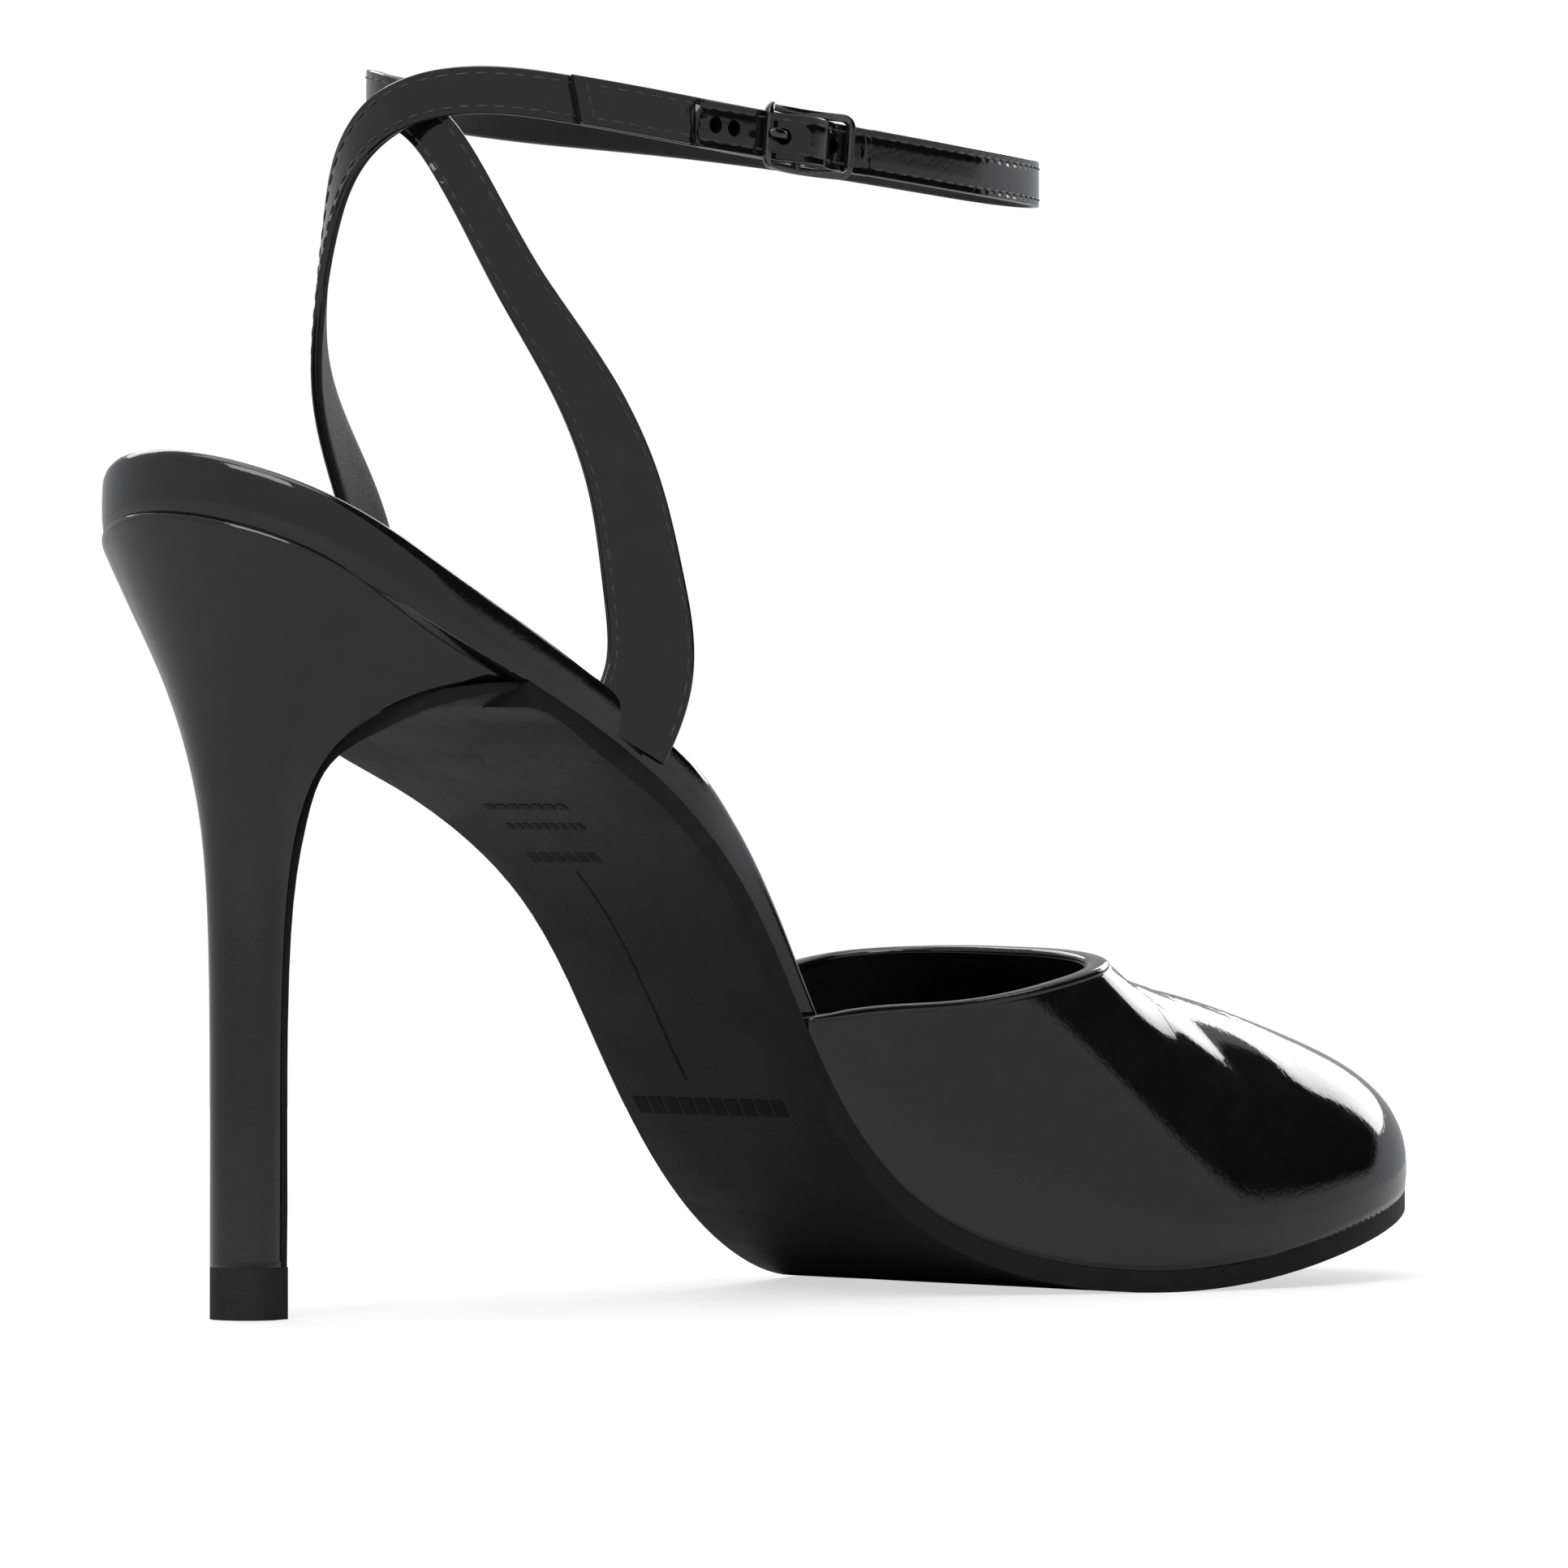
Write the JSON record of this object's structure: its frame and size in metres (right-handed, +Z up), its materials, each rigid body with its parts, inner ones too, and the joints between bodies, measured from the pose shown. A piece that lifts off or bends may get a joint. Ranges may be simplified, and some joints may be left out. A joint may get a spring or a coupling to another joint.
{
  "type": "high heel pump",
  "caption": "Black patent stiletto pump with a closed toe, open waist and heel, and crossed ankle straps that fasten with a small buckle.",
  "frame": {"origin": "middle of the bottom face of the heel tip, on the ground", "axes": "+X towards the toe, +Y to the medial side, +Z up"},
  "size_m": [0.2068, 0.0754, 0.157],
  "materials": {
    "sole_leather": "matt, smooth black sole leather",
    "cork_filler": "pressed cork",
    "fibre_board": "hard fibre board",
    "spring_steel": "tempered steel strip",
    "rivet_steel": "plain steel",
    "insole_fibre": "cellulose insole board",
    "insole_foam": "soft latex foam",
    "patent_rim": "black patent, high gloss",
    "sock_leather": "soft black lining leather",
    "heel_plastic": "moulded plastic",
    "patent_heel": "black patent, high gloss",
    "dowel_steel": "steel tube",
    "screw_steel": "zinc plated",
    "nail_steel": "ring-shank nails",
    "heel_tip_rubber": "matt black polyurethane",
    "pin_steel": "plain steel",
    "patent_vamp": "black patent, high gloss, softly creased",
    "backing_cloth": "cotton backing",
    "toe_puff_fibre": "stiffened fibre",
    "lining_leather": "smooth black lining",
    "patent_strap": "black patent, high gloss, stitched",
    "strap_lining_leather": "smooth black lining",
    "black_nickel": "black nickel plate, polished"
  },
  "bodies": {
    "shoe": {"outsole": "sole_leather", "forepart_filler": "cork_filler", "shank_board": "fibre_board", "steel_shank": "spring_steel", "shank_rivets": "rivet_steel", "insole_board": "insole_fibre", "foam_pad": "insole_foam", "rim_cover": "patent_rim", "sock_lining": "sock_leather", "heel_core": "heel_plastic", "heel_cover": "patent_heel", "heel_dowel": "dowel_steel", "heel_screw": "screw_steel", "heel_nails": "nail_steel", "top_piece": "heel_tip_rubber", "top_piece_pin": "pin_steel", "vamp": "patent_vamp", "vamp_backing": "backing_cloth", "toe_puff": "toe_puff_fibre", "vamp_lining": "lining_leather", "medial_strap": "patent_strap", "medial_strap_lining": "strap_lining_leather", "lateral_strap": "patent_strap", "lateral_strap_lining": "strap_lining_leather"},
    "buckle": {"buckle_frame": "black_nickel"},
    "prong": {"buckle_prong": "black_nickel"}
  },
  "joints": [
    {"name": "buckle_hinge", "type": "hinge", "parent": "shoe", "child": "buckle", "pos_m": [0.07, -0.0254, 0.14789], "axis": [0.0896, 0, 0.996], "range_deg": [-2, 2]},
    {"name": "prong_hinge", "type": "hinge", "parent": "buckle", "child": "prong", "pos_m": [0.07, -0.0254, 0.14789], "axis": [0.0896, 0, 0.996], "range_deg": [-3, 0]}
  ]
}
